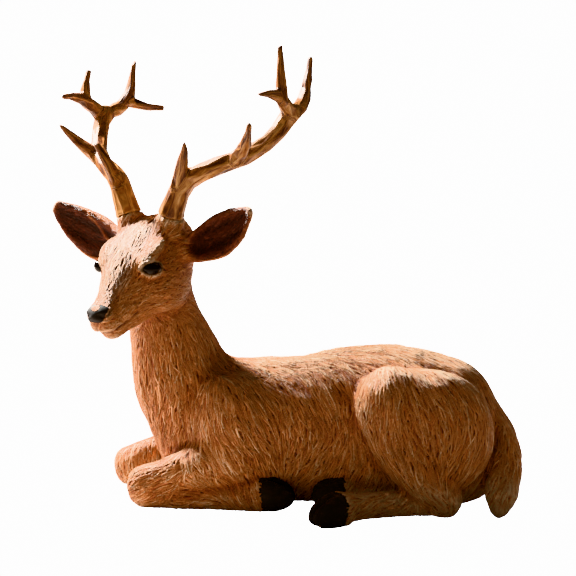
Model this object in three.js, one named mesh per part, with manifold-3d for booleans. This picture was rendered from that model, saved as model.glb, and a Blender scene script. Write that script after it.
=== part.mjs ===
// A lying stag figurine, cast in resin: one body casting, two antlers seated on it and two eyes set in it.
// Millimetres, +Z up. The stag faces -X with its head turned to its own left, which is -Y.
import * as THREE from "three";
import { triTable } from "three/addons/objects/MarchingCubes.js";
import { mergeVertices } from "three/addons/utils/BufferGeometryUtils.js";
import Module from "manifold-3d";

// Driving dimensions, in millimetres.
const FIGURE_HEIGHT = 300; // floor to the highest antler tip
const SEAM = 0.3; // open joint line between pieces cast apart
const EYE_DIAMETER = 12; // along the eye's slit
const EYE_OPENING = 8.6; // across it
const EYE_DEPTH = 8.4; // from the back of the eye to its front
const NOSTRIL = 4; // length of a nostril
const EAR_WALL = 3.2; // thickness of an ear's rim
const EAR_CUP = 6; // depth of the hollow in an ear
const ANTLER_SEAT = 17.5; // diameter of the seat where an antler joins the head
const TINE_TIP = 3; // diameter at the tip of a tine
const LOCK_WIDTH = 12; // one carved lock of fur
const LOCK_LENGTH = 34;
const LOCK_RELIEF = 2.1; // how far a lock stands out

// How finely the surfaces are worked: grid spacing first, then the number of triangles that is kept.
const BODY_GRID = 2.4;
const ANTLER_GRID = 1.9;
const BODY_TRIANGLES = 7100;
const ANTLER_TRIANGLES = 700;
const ROUND_STEPS = 12; // steps around an eye, a multiple of four

// The pose is drawn on a sketch that is POSE_HEIGHT units tall, so proportions follow the figure's height.
const POSE_HEIGHT = 94.9;
const UNIT = FIGURE_HEIGHT / POSE_HEIGHT;
const point = (x, y, z) => new THREE.Vector3(x, y, z).multiplyScalar(UNIT);
const UP = new THREE.Vector3(0, 0, 1);
const FORE = new THREE.Vector3(-1, 0, 0);

// Fields: each is a function of a point that gives its signed distance in millimetres, negative inside.

// How far a point at (s, u, t) lies outside an oval of half sizes (a, b, c).
function ovalDistance(s, u, t, a, b, c) {
  const near = Math.hypot(s / a, u / b, t / c);
  const slope = Math.hypot(s / (a * a), u / (b * b), t / (c * c));
  return slope > 1e-9 ? (near * (near - 1)) / slope : -Math.min(a, b, c);
}

// A field that is only worked out near its own box, and is the distance to the box elsewhere.
function boxed(box, field) {
  const reach = 5 * UNIT;
  return (p) => {
    const away = box.distanceToPoint(p);
    return away > reach ? away : field(p);
  };
}

const cubeAround = (centre, half) =>
  new THREE.Box3().setFromCenterAndSize(centre, new THREE.Vector3(2, 2, 2).multiplyScalar(half));

// A limb: oval sections run smoothly through stations [x, y, z, half width, half depth].
// The half depth is measured along the part of `depthAxis` that crosses the limb.
function limb(stations, depthAxis = UP, toPoint = point) {
  const steps = 4 * (stations.length - 1);
  const path = new THREE.CatmullRomCurve3(stations.map(([x, y, z]) => toPoint(x, y, z)));
  const sizes = new THREE.CatmullRomCurve3(
    stations.map(([, , , a, b]) => new THREE.Vector3(a * UNIT, b * UNIT, 0)),
  );
  const sections = Array.from({ length: steps + 1 }, (_, i) => {
    const tangent = path.getTangent(i / steps);
    const side = new THREE.Vector3().crossVectors(tangent, depthAxis).normalize();
    const depth = new THREE.Vector3().crossVectors(side, tangent).normalize();
    const size = sizes.getPoint(i / steps);
    return { centre: path.getPoint(i / steps), tangent, side, depth, a: size.x, b: size.y };
  });
  const box = new THREE.Box3();
  for (const { centre, a, b } of sections) box.union(cubeAround(centre, Math.max(a, b)));
  const links = sections.slice(1).map((to, i) => {
    const from = sections[i];
    const span = to.centre.clone().sub(from.centre);
    const middle = from.centre.clone().addScaledVector(span, 0.5);
    const around = span.length() / 2 + Math.max(from.a, from.b, to.a, to.b);
    return { from, to, span, length2: span.lengthSq(), middle, around };
  });
  const away = new THREE.Vector3();
  return boxed(box, (p) => {
    let best = Infinity;
    for (const { from, to, span, length2, middle, around } of links) {
      if (p.distanceTo(middle) - around > best) continue;
      away.subVectors(p, from.centre);
      const share = Math.min(1, Math.max(0, away.dot(span) / length2));
      away.addScaledVector(span, -share);
      const a = from.a + (to.a - from.a) * share;
      const b = from.b + (to.b - from.b) * share;
      const s = away.dot(from.side) * (1 - share) + away.dot(to.side) * share;
      const u = away.dot(from.depth) * (1 - share) + away.dot(to.depth) * share;
      const t = away.dot(from.tangent) * (1 - share) + away.dot(to.tangent) * share;
      best = Math.min(best, ovalDistance(s, u, t, a, b, Math.min(a, b)));
    }
    return best;
  });
}

function turned(yaw, pitch) {
  const [about, over] = [yaw, pitch].map(THREE.MathUtils.degToRad);
  return new THREE.Matrix4().makeRotationFromEuler(new THREE.Euler(0, over, about, "ZYX"));
}

// An oval mass with half sizes along three axes, turned by yaw about Z and pitch about its own side axis.
function mass([x, y, z], [a, b, c], yaw = 0, pitch = 0, toPoint = point, basis = new THREE.Matrix4()) {
  const centre = toPoint(x, y, z);
  const back = basis.clone().multiply(turned(yaw, pitch)).transpose();
  const local = new THREE.Vector3();
  return boxed(cubeAround(centre, Math.max(a, b, c) * UNIT), (p) => {
    local.subVectors(p, centre).applyMatrix4(back);
    return ovalDistance(local.x, local.y, local.z, a * UNIT, b * UNIT, c * UNIT);
  });
}

// Smooth joins: k is the blend's width in hundredths of the height.
function softMin(a, b, k) {
  const h = Math.max(k * UNIT - Math.abs(a - b), 0) / (k * UNIT);
  return Math.min(a, b) - h * h * k * UNIT * 0.25;
}
const joined = (first, ...rest) => (p) =>
  rest.reduce((d, [field, k]) => softMin(d, field(p), k), first(p));
const carved = (field, tool, k) => (p) => -softMin(-field(p), tool(p), k);

// The trunk, from the brisket to the rump.
function trunk() {
  return limb([
    [-18, 0, 14.9, 9.4, 12.1],
    [-11, 0, 14.8, 12, 14.6],
    [-3, 0, 14.8, 12.8, 15.2],
    [5, 0, 14.9, 12.9, 15.4],
    [12, 0, 15.8, 12.7, 16.4],
    [22, 0, 16.1, 12.5, 16.9],
    [32, 0, 15.1, 12, 15.5],
  ]);
}

// The neck rises from the chest and turns to carry the head.
function neck() {
  return limb(
    [
      [-17.5, 0, 13.5, 10, 9.6],
      [-21.4, 0, 22.5, 9.6, 10.4],
      [-23.7, 0, 29.5, 8.6, 9.4],
      [-25.3, -0.3, 35.5, 7.6, 7.9],
      [-26, -0.8, 42, 6.8, 6.5],
      [-25.6, -2, 49, 6.2, 5.6],
    ],
    FORE,
  );
}

// Near and far foreleg: shoulder, forearm, the cannon folded back under it and the hoof.
function foreleg() {
  const shoulder = mass([-9, -8.2, 15.4], [9.7, 7.2, 12.6], 0, -20);
  const arm = limb([
    [-10, -10.8, 10.6, 5, 6],
    [-17, -11.6, 8.3, 4.3, 5],
    [-23, -12, 6.2, 3.8, 4.4],
    [-27.9, -12, 4.6, 3.7, 4.3],
  ]);
  const cannon = limb([
    [-27.9, -12, 3.5, 3.5, 3.7],
    [-22, -12, 2.6, 2.9, 3],
    [-14, -11.8, 2.5, 2.4, 2.7],
    [-8, -11.6, 2.9, 2.8, 3.2],
    [-4.6, -11.6, 3.2, 3, 3.4],
  ]);
  return [
    [shoulder, 2.2],
    [arm, 1.6],
    [cannon, 0.8],
    [hoof(...HOOVES[0]), 0.3],
  ];
}

function farForeleg() {
  const shoulder = mass([-9, 8.2, 15.4], [9.7, 7.2, 12.6], 0, -20);
  const arm = limb([
    [-14, 9.4, 11.4, 5, 6],
    [-22, 8, 9, 4.3, 4.9],
    [-29, 6.6, 6.8, 3.8, 4.3],
    [-34.4, 5.6, 4.9, 3.7, 4.1],
  ]);
  const cannon = limb([
    [-34.4, 5.6, 3.7, 3.3, 3.6],
    [-28, 6.6, 2.7, 2.9, 3],
    [-20, 8.4, 2.6, 2.5, 2.8],
    [-13, 10, 3, 2.8, 3.2],
  ]);
  return [
    [shoulder, 2.2],
    [arm, 1.6],
    [cannon, 0.8],
    [hoof(...HOOVES[1]), 0.3],
  ];
}

// Where each hoof is: [its root], yaw, pitch and size.
const HOOVES = [
  [[-4.2, -11.6, 3.6], 0, 2, 1.05],
  [[-12.6, 10.1, 3.4], 14, 4, 1],
  [[13, -9.5, 4], 197, 4, 1],
  [[13.5, -19.8, 3.2], 220, 6, 1.05],
];

// A cloven hoof: two toes side by side that point along +X before yaw turns them.
function hoof([x, y, z], yaw, pitch, size) {
  const basis = turned(yaw, pitch);
  const place = (a, b, c) =>
    new THREE.Vector3(a, b, c).multiplyScalar(UNIT * size).applyMatrix4(basis).add(point(x, y, z));
  const toe = (side) =>
    limb(
      [
        [0, side * 1.1, 0, 2.2 * size, 3.3 * size],
        [2.6, side * 1.25, -0.2, 2 * size, 3 * size],
        [5, side * 1.1, -0.4, 1.4 * size, 2.2 * size],
        [6.2, side * 0.9, -0.5, 0.8 * size, 1.3 * size],
      ],
      UP,
      place,
    );
  return joined(toe(-1), [toe(1), 0.25]);
}

// Haunch, gaskin, cannon and hoof of the near hind leg, and the far leg that comes out beside it.
function hindLegs() {
  const haunch = mass([30.8, -9.8, 17], [12.4, 8.2, 13]);
  const buttock = mass([35, 0, 9.4], [9.6, 9.5, 9]);
  const stifle = mass([22.4, -10.8, 22.8], [7.4, 6.8, 7.8], 0, 10);
  const gaskin = limb(
    [
      [22.4, -11.4, 22, 5.8, 6.4],
      [24, -12.9, 16.4, 5, 5.7],
      [27.4, -14, 11, 4.3, 4.9],
      [31.4, -13.7, 6.6, 3.5, 4],
      [34, -12.4, 3.6, 3, 3.3],
    ],
    FORE,
  );
  const cannon = limb([
    [33.8, -12.2, 3.5, 3, 3.3],
    [26, -13, 3.2, 2.5, 2.9],
    [19.6, -14.6, 3, 2.4, 2.8],
    [15.6, -17.4, 3.1, 2.9, 3.2],
    [13.8, -19.4, 3.2, 3, 3.3],
  ]);
  const farHaunch = mass([28.4, 9, 13.6], [12, 8.2, 12.2]);
  const farStifle = mass([22, 10.6, 20.6], [7.4, 6.8, 7.8], 0, 10);
  const farGaskin = limb(
    [
      [22, 11.2, 20, 5.4, 6.2],
      [21.4, 12, 12.6, 4.8, 5.8],
      [22.6, 11, 5.6, 4, 4.8],
      [26, 8.6, 3.4, 3.2, 3.8],
    ],
    FORE,
  );
  const farCannon = limb([
    [33, -2, 3.6, 3, 3.4],
    [24, -6.4, 3.8, 2.7, 3.2],
    [17, -8.4, 4, 2.6, 3.1],
    [13.6, -9.4, 4.2, 3, 3.4],
  ]);
  return [
    [buttock, 2.4],
    [joined(haunch, [stifle, 3], [gaskin, 1.6]), 0.9],
    [joined(farHaunch, [farStifle, 3], [farGaskin, 1.6]), 0.9],
    [farCannon, 0.8],
    [hoof(...HOOVES[2]), 0.3],
    [cannon, 0.8],
    [hoof(...HOOVES[3]), 0.3],
  ];
}

function tail() {
  return limb(
    [
      [42, 0, 20.6, 1.6, 3],
      [44.8, -1.4, 15.6, 2.6, 3.2],
      [45.4, -4.2, 10.2, 3.4, 3.2],
      [44.8, -7.8, 5.2, 3.7, 2.8],
      [44.4, -10.6, 1.6, 2.2, 1.8],
    ],
    new THREE.Vector3(0, 1, 0),
  );
}

// The head has a frame of its own, forward to the nose, left and up, about a centre in the braincase.
const HEAD_CENTRE = point(-27.45, -6.05, 51);
const HEAD_YAW = 62; // degrees that the face is turned to the stag's left
const HEAD_PITCH = 27; // degrees that the nose is dropped
const HEAD_ROLL = 3.5; // degrees that the left side is lifted
const headForward = new THREE.Vector3(-1, 0, 0)
  .applyAxisAngle(new THREE.Vector3(0, 1, 0), -THREE.MathUtils.degToRad(HEAD_PITCH))
  .applyAxisAngle(UP, THREE.MathUtils.degToRad(HEAD_YAW));
const headLeft = new THREE.Vector3()
  .crossVectors(UP, headForward)
  .normalize()
  .applyAxisAngle(headForward, THREE.MathUtils.degToRad(HEAD_ROLL));
const headUp = new THREE.Vector3().crossVectors(headForward, headLeft);
const HEAD_BASIS = new THREE.Matrix4().makeBasis(headForward, headLeft, headUp);
const inHead = (f, l, u) =>
  new THREE.Vector3(f, l, u).multiplyScalar(UNIT).applyMatrix4(HEAD_BASIS).add(HEAD_CENTRE);
const headMass = (centre, sizes, yaw = 0, pitch = 0) => mass(centre, sizes, yaw, pitch, inHead, HEAD_BASIS);
const headLimb = (stations, depthAxis = headUp) => limb(stations, depthAxis, inHead);

function head() {
  const skull = headLimb([
    [-5, 0, 0, 6.6, 6.6],
    [-1, 0, -0.4, 8, 8.1],
    [3, 0, -1.2, 8, 8],
    [7.6, 0, -1.9, 6.8, 7],
    [12, 0, -2.6, 5, 5.5],
    [16.6, 0, -3, 3.9, 4],
  ]);
  const pair = (make) => [make(1), make(-1)];
  const cheeks = pair((side) => headMass([2.4, side * 4, -5], [6, 3.8, 5], 0, -6));
  const brows = pair((side) => headMass([4.7, side * 5.6, 4.6], [3.7, 2.2, 1.2], side * -12, 12));
  const nosePad = headMass([18.7, 0, -1], [2.5, 3.5, 1.9], 0, 20);
  const upperLip = headMass([18.6, 0, -3.5], [2.7, 3.3, 1.7]);
  const chin = headLimb([
    [6, 0, -7.4, 3.6, 2.8],
    [12, 0, -6.7, 2.9, 2.3],
    [17.8, 0, -6.2, 2.3, 1.7],
  ]);
  return joined(
    skull,
    [cheeks[0], 2.6],
    [cheeks[1], 2.6],
    [brows[0], 2.2],
    [brows[1], 2.2],
    [chin, 0.6],
    [upperLip, 1],
    [nosePad, 0.6],
  );
}

// An ear is a leaf that is scooped out in front, so that a wall of EAR_WALL is left behind the hollow.
function ear(side) {
  const root = [-2.6, side * 6.6, 0];
  const reach = [-2.4, side * 20.2, 9.2];
  const sag = side > 0 ? 1.4 : 2.8;
  const fuller = side > 0 ? 0 : 0.6; // the right ear is turned more to the front and looks fuller
  const along = (share, forward = 0) => [
    root[0] + reach[0] * share + forward * 0.89,
    root[1] + reach[1] * share,
    root[2] + reach[2] * share + forward * 0.45 - 4 * sag * share * (1 - share),
  ];
  const leaf = headLimb(
    [
      [...along(0), 2.1, 2.4],
      [...along(0.25), 2.2, 3.6 + fuller * 0.8],
      [...along(0.5), 2, 4.5 + fuller],
      [...along(0.76), 1.4, 3.7 + fuller * 0.8],
      [...along(0.97), 0.8, 1.2 + fuller],
    ],
    UP,
  );
  const rim = (EAR_WALL / UNIT) * 0.55;
  const cup = EAR_CUP / UNIT;
  const scoop = headLimb(
    [
      [...along(0.18, cup), cup * 0.85, 1.4],
      [...along(0.34, cup), cup, 3.7 + fuller - rim],
      [...along(0.54, cup), cup * 1.05, 4.4 + fuller - rim],
      [...along(0.76, cup), cup, 3.4 + fuller - rim],
      [...along(0.9, cup), cup * 0.85, 1.2 + fuller],
    ],
    UP,
  );
  return carved(leaf, scoop, 0.9);
}

// Antlers grow from seats behind the brow. Stations are [forward, outward, up, radius] in the head's frame.
const SEAT = [-4.3, 5.8, 7.4];
const SEAT_FACING = [-0.44, 0.31, 0.84];
const seatFacing = (side) => {
  const [f, l, u] = SEAT_FACING;
  return new THREE.Vector3(f, side * l, u).transformDirection(HEAD_BASIS);
};
const seatPoint = (side) => inHead(SEAT[0], side * SEAT[1], SEAT[2]);

function pedicle(side) {
  const r = ANTLER_SEAT / 2 / UNIT;
  const at = (share) => [0, 1, 2].map((i) => SEAT[i] + SEAT_FACING[i] * share * 3);
  const [foot, top] = [at(-1), at(0.6)];
  return headLimb([
    [foot[0], side * foot[1], foot[2], r * 1.2, r * 1.2],
    [top[0], side * top[1], top[2], r, r],
  ]);
}

function antler(side) {
  const rise = side > 0 ? 2.2 : -2.2; // the front tine of the crown is longer on the left antler
  const inset = side > 0 ? 3 : 0; // the rear tine turns in more on the left antler
  const tip = TINE_TIP / 2 / UNIT;
  const branch = (stations) => headLimb(stations.map(([f, l, u, r]) => [f, side * l, u, r, r]), headForward);
  const beam = branch([
    [-3.2, 5, 5.4, 3],
    [-5.2, 6.4, 9.2, 2.5],
    [-8.4, 9.1, 13, 2.1],
    [-12, 14.8, 14.4, 1.9],
    [-16.4, 20, 14.5, 1.8],
    [-21.8, 23.6, 15.6, 1.7],
    [-27.2, 25.4, 18, 1.8],
  ]);
  const tines = [
    [[-6.6, 7.6, 11.6, 1.7], [-8, 9.6, 16.4, 1.3], [-8.9, 11.4, 20.2, 0.8], [-9.2, 12, 21.6, tip]],
    [[-14.4, 18.6, 14.8, 1.6], [-14.6, 21.8, 17.6, 1.3], [-14.4, 24.4, 21, 0.8], [-14.3, 25.4, 22.9, tip]],
    [[-26.8, 25.4, 17.6, 1.7], [-25.2, 26.2, 21.4, 1.4], [-23.2, 26.6, 24.4, 1.1], [-19, 26.4, 27, tip]],
    [[-24.6, 26.6, 22.4, 1.3], [-26.6, 26.9, 26.2 + rise * 0.4, 1], [-29.4, 26.8, 29.8 + rise, tip]],
    [[-27, 25.4, 17.8, 1.7], [-31.4, 24.8, 17, 1.4], [-35, 24.1, 18.2, 1.2], [-40.2, 24, 23.4, tip]],
    [[-33.6, 24.2, 17.4, 1.2], [-36.8, 22 - inset * 0.4, 14, 0.9], [-39.4, 20 - inset, 12.2, tip]],
  ].map(branch);
  return joined(beam, ...tines.map((tine) => [tine, 0.7]));
}

// The whole casting before it is cut flat below and fitted with its eyes and antlers.
function stagField() {
  const parts = [
    [neck(), 3],
    ...foreleg(),
    ...farForeleg(),
    ...hindLegs(),
    [tail(), 0.8],
    [head(), 2],
    [ear(1), 1],
    [ear(-1), 1],
    [pedicle(1), 1.2],
    [pedicle(-1), 1.2],
  ];
  return joined(trunk(), ...parts);
}

// The corners of a grid cell and its twelve edges, in the order that the triangle table counts them.
const CORNERS = [
  [0, 0, 0], [1, 0, 0], [1, 1, 0], [0, 1, 0],
  [0, 0, 1], [1, 0, 1], [1, 1, 1], [0, 1, 1],
];
const EDGES = [
  [0, 1], [1, 2], [3, 2], [0, 3],
  [4, 5], [5, 6], [7, 6], [4, 7],
  [0, 4], [1, 5], [2, 6], [3, 7],
];

// Marching cubes over a box. Blocks that the surface can't reach are skipped.
function surfaceOf(field, box, cell) {
  const size = box.getSize(new THREE.Vector3());
  const [nx, ny, nz] = [size.x, size.y, size.z].map((s) => Math.ceil(s / cell) + 1);
  const values = new Float32Array(nx * ny * nz).fill(NaN);
  const at = (i, j, k) => i + nx * (j + ny * k);
  const p = new THREE.Vector3();
  const place = (i, j, k) => p.set(box.min.x + i * cell, box.min.y + j * cell, box.min.z + k * cell);
  const block = 6;
  const half = block / 2;
  for (let k = 0; k < nz; k += block)
    for (let j = 0; j < ny; j += block)
      for (let i = 0; i < nx; i += block) {
        const middle = field(place(i + half, j + half, k + half));
        const skipped = Math.abs(middle) > block * cell * 1.5;
        for (let c = k; c < Math.min(k + block, nz); c++)
          for (let b = j; b < Math.min(j + block, ny); b++)
            for (let a = i; a < Math.min(i + block, nx); a++)
              values[at(a, b, c)] = skipped ? middle : field(place(a, b, c)) || 1e-6;
      }
  const found = new Map();
  const positions = [];
  const triangles = [];
  for (let k = 0; k < nz - 1; k++)
    for (let j = 0; j < ny - 1; j++)
      for (let i = 0; i < nx - 1; i++) {
        let code = 0;
        CORNERS.forEach(([a, b, c], n) => {
          if (values[at(i + a, j + b, k + c)] < 0) code |= 1 << n;
        });
        if (code === 0 || code === 255) continue;
        let last = code * 16;
        while (triTable[last] !== -1) last++;
        for (let n = last - 1; n >= code * 16; n--) {
          const [c0, c1] = EDGES[triTable[n]].map((c) => CORNERS[c]);
          const [n0, n1] = [c0, c1].map(([a, b, c]) => at(i + a, j + b, k + c));
          const step = c1.map((c, axis) => c - c0[axis]);
          const key = n0 * 3 + step.indexOf(1);
          if (!found.has(key)) {
            const share = values[n0] / (values[n0] - values[n1]);
            place(i + c0[0] + step[0] * share, j + c0[1] + step[1] * share, k + c0[2] + step[2] * share);
            found.set(key, positions.length / 3);
            positions.push(p.x, p.y, p.z);
          }
          triangles.push(found.get(key));
        }
      }
  return { positions: Float64Array.from(positions), triangles: Uint32Array.from(triangles) };
}

// The slope of a field, which is the surface's outward normal.
function normalAt(field, p, out) {
  const q = new THREE.Vector3();
  const step = 0.4;
  const along = (axis) => {
    q.copy(p)[axis] += step;
    const ahead = field(q);
    q.copy(p)[axis] -= step;
    return ahead - field(q);
  };
  return out.set(along("x"), along("y"), along("z")).normalize();
}

// Moves every vertex onto the field's zero surface and keeps the normal found there.
function settle(mesh, field) {
  const { positions } = mesh;
  const normals = new Float64Array(positions.length);
  const p = new THREE.Vector3();
  const n = new THREE.Vector3();
  for (let i = 0; i < positions.length; i += 3) {
    p.fromArray(positions, i);
    normalAt(field, p, n);
    const off = Math.max(-1, Math.min(1, field(p)));
    p.addScaledVector(n, -off).toArray(positions, i);
    n.toArray(normals, i);
  }
  return { ...mesh, normals };
}

// Lie of the fur: guides [x, y, z, towards x, y, z] on the near side, repeated on the far side.
const BODY_LIE = [
  [-22, -8, 35, 0.1, 0, -1],
  [-26, -7, 44, 0.1, 0, -1],
  [-30.5, -3, 21, 0.35, 0.3, -1],
  [-31, 0, 28, 0.1, 0, -1],
  [-23, -9, 17, -0.2, 0, -1],
  [-18, -11, 21, 0, 0, -1],
  [-12, -13, 21, 0.3, 0, -1],
  [-8, -15, 14.6, 0.6, 0, -0.8],
  [-14, -14, 10.4, 0.5, 0, -0.85],
  [-6, -14, 8, 0.4, 0, -0.9],
  [-14, -4, 31, 0.6, -0.4, -0.8],
  [2.5, -3, 30, 1, -0.4, -0.1],
  [19, -3, 32, 1, -0.4, -0.1],
  [31, -3, 30, 1, -0.3, -0.4],
  [6.6, -11, 23, 0.5, -0.2, -0.85],
  [8.6, -14, 12.5, -0.45, 0, -0.9],
  [6.6, -12, 6, -0.45, 0.3, -0.8],
  [23, -12, 27, 0.3, -0.5, -0.8],
  [33, -10, 25, 0.6, -0.3, -0.8],
  [19, -15, 23, -0.1, 0, -1],
  [18, -16, 16.7, 0.3, 0, -0.95],
  [23, -17, 10.4, 0.5, 0, -0.85],
  [29, -16, 5, 0.65, 0, -0.75],
  [27, -17, 17, 0.3, 0, -0.95],
  [36, -13, 13, -0.45, 0, -0.9],
  [42.6, -6, 14.6, -0.2, 0, -1],
  [42.6, -5, 6, -0.5, 0, -0.85],
  [25, -17, 3, -0.95, -0.1, -0.2],
  [18, -18, 4, -0.9, -0.4, -0.2],
  [-24, -15, 6, -0.9, 0, -0.35],
  [-18, -15, 2, 1, 0, 0],
  [46, -5, 6, -0.1, -0.2, -1],
  [46, -1, 15, 0.2, 0, -1],
];
// The same in the head's frame: [forward, left, up, towards forward, left, up].
const HEAD_LIE = [
  [-1, 0, 8, -1, 0, 0.2],
  [5, 0, 6, -1, 0, 0.4],
  [12, 0, 3, -1, 0, 0.35],
  [5, 7, -3, -1, 0, -0.35],
  [14, 4, -2, -1, 0.2, -0.1],
  [3, 5, -9, -1, 0, -0.2],
  [-1, 8, 1, -1, 0, -0.3],
  [15, 0, -8, -1, 0, 0],
  [-3.5, 15, 3, -0.1, 0.9, 0.42],
];
const toward = ([f, l, u]) => new THREE.Vector3(f, l, u).transformDirection(HEAD_BASIS);
const GUIDES = [1, -1].flatMap((side) => [
  ...BODY_LIE.map(([x, y, z, a, b, c]) => [
    point(x, side * y, z),
    new THREE.Vector3(a, side * b, c).normalize(),
  ]),
  ...HEAD_LIE.map(([f, l, u, a, b, c]) => [inHead(f, side * l, u), toward([a, side * b, c])]),
]);

// The lie at a point of the surface: nearer guides count for more.
function lieAt(p, normal, out) {
  const softening = 4 * UNIT * UNIT;
  out.set(0, 0, 0);
  for (const [place, direction] of GUIDES) {
    const near = p.distanceToSquared(place) + softening;
    out.addScaledVector(direction, 1e6 / (near * near));
  }
  return out.addScaledVector(normal, -out.dot(normal)).normalize();
}

// A repeatable stream of numbers between 0 and 1.
function stream(seed) {
  let state = seed;
  return () => {
    state = (state * 16807) % 2147483647;
    return state / 2147483647;
  };
}

// Fur is carved as shingled locks: each starts flush, swells along the lie and ends in a raised point.
// Each height is eased a little toward its neighbours', so that no lock ends in a spike.
// `coat` gives the strength of the carving at a point, from 0 for bare to 1 for the full coat.
function carveLocks(mesh, coat) {
  const { positions, normals } = mesh;
  const random = stream(20011);
  const count = positions.length / 3;
  const p = new THREE.Vector3();
  const n = new THREE.Vector3();
  const cell = LOCK_LENGTH;
  const bins = new Map();
  const key = (x, y, z) => `${Math.floor(x / cell)},${Math.floor(y / cell)},${Math.floor(z / cell)}`;
  const around = (q, visit) => {
    for (let a = -1; a <= 1; a++)
      for (let b = -1; b <= 1; b++)
        for (let c = -1; c <= 1; c++)
          bins.get(key(q.x + a * cell, q.y + b * cell, q.z + c * cell))?.forEach(visit);
  };
  for (let tries = 0; tries < count * 2; tries++) {
    const i = Math.floor(random() * count) * 3;
    p.fromArray(positions, i);
    const strength = coat(p);
    if (strength < 0.1) continue;
    const size = 0.55 + 0.45 * strength;
    let crowded = false;
    around(p, (lock) => {
      if (lock.place.distanceTo(p) < LOCK_WIDTH * size * 0.95) crowded = true;
    });
    if (crowded) continue;
    n.fromArray(normals, i);
    const lie = lieAt(p, n, new THREE.Vector3());
    const across = new THREE.Vector3().crossVectors(n, lie);
    lie.applyAxisAngle(n, (random() - 0.5) * 0.5);
    across.crossVectors(n, lie);
    const height = strength * (0.75 + 0.25 * random());
    const lock = { place: p.clone(), normal: n.clone(), lie, across, size, height };
    const home = key(p.x, p.y, p.z);
    if (!bins.has(home)) bins.set(home, []);
    bins.get(home).push(lock);
  }
  const away = new THREE.Vector3();
  const heights = new Float64Array(count);
  for (let i = 0; i < positions.length; i += 3) {
    p.fromArray(positions, i);
    n.fromArray(normals, i);
    let height = 0;
    around(p, (lock) => {
      away.subVectors(p, lock.place);
      const share = away.dot(lock.lie) / (LOCK_LENGTH * lock.size);
      if (share < 0 || share > 1 || lock.normal.dot(n) < 0.3) return;
      const width = LOCK_WIDTH * lock.size * 0.62 * Math.sqrt(1 - share * share);
      const side = away.dot(lock.across) / (width + 0.01);
      if (Math.abs(side) > 1) return;
      height = Math.max(height, lock.height * (0.2 + 0.8 * share) * (1 - Math.abs(side) ** 1.5));
    });
    heights[i / 3] = LOCK_RELIEF * (height - 0.45) * Math.min(1, coat(p) * 3);
  }
  const eased = heights.slice();
  const shares = new Float64Array(count).fill(1);
  const { triangles } = mesh;
  for (let t = 0; t < triangles.length; t++) {
    const next = triangles[t % 3 === 2 ? t - 2 : t + 1];
    eased[triangles[t]] += 0.25 * heights[next];
    shares[triangles[t]] += 0.25;
  }
  for (let i = 0; i < positions.length; i += 3) {
    p.fromArray(positions, i);
    n.fromArray(normals, i);
    p.addScaledVector(n, eased[i / 3] / shares[i / 3]).toArray(positions, i);
  }
  return mesh;
}

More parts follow.
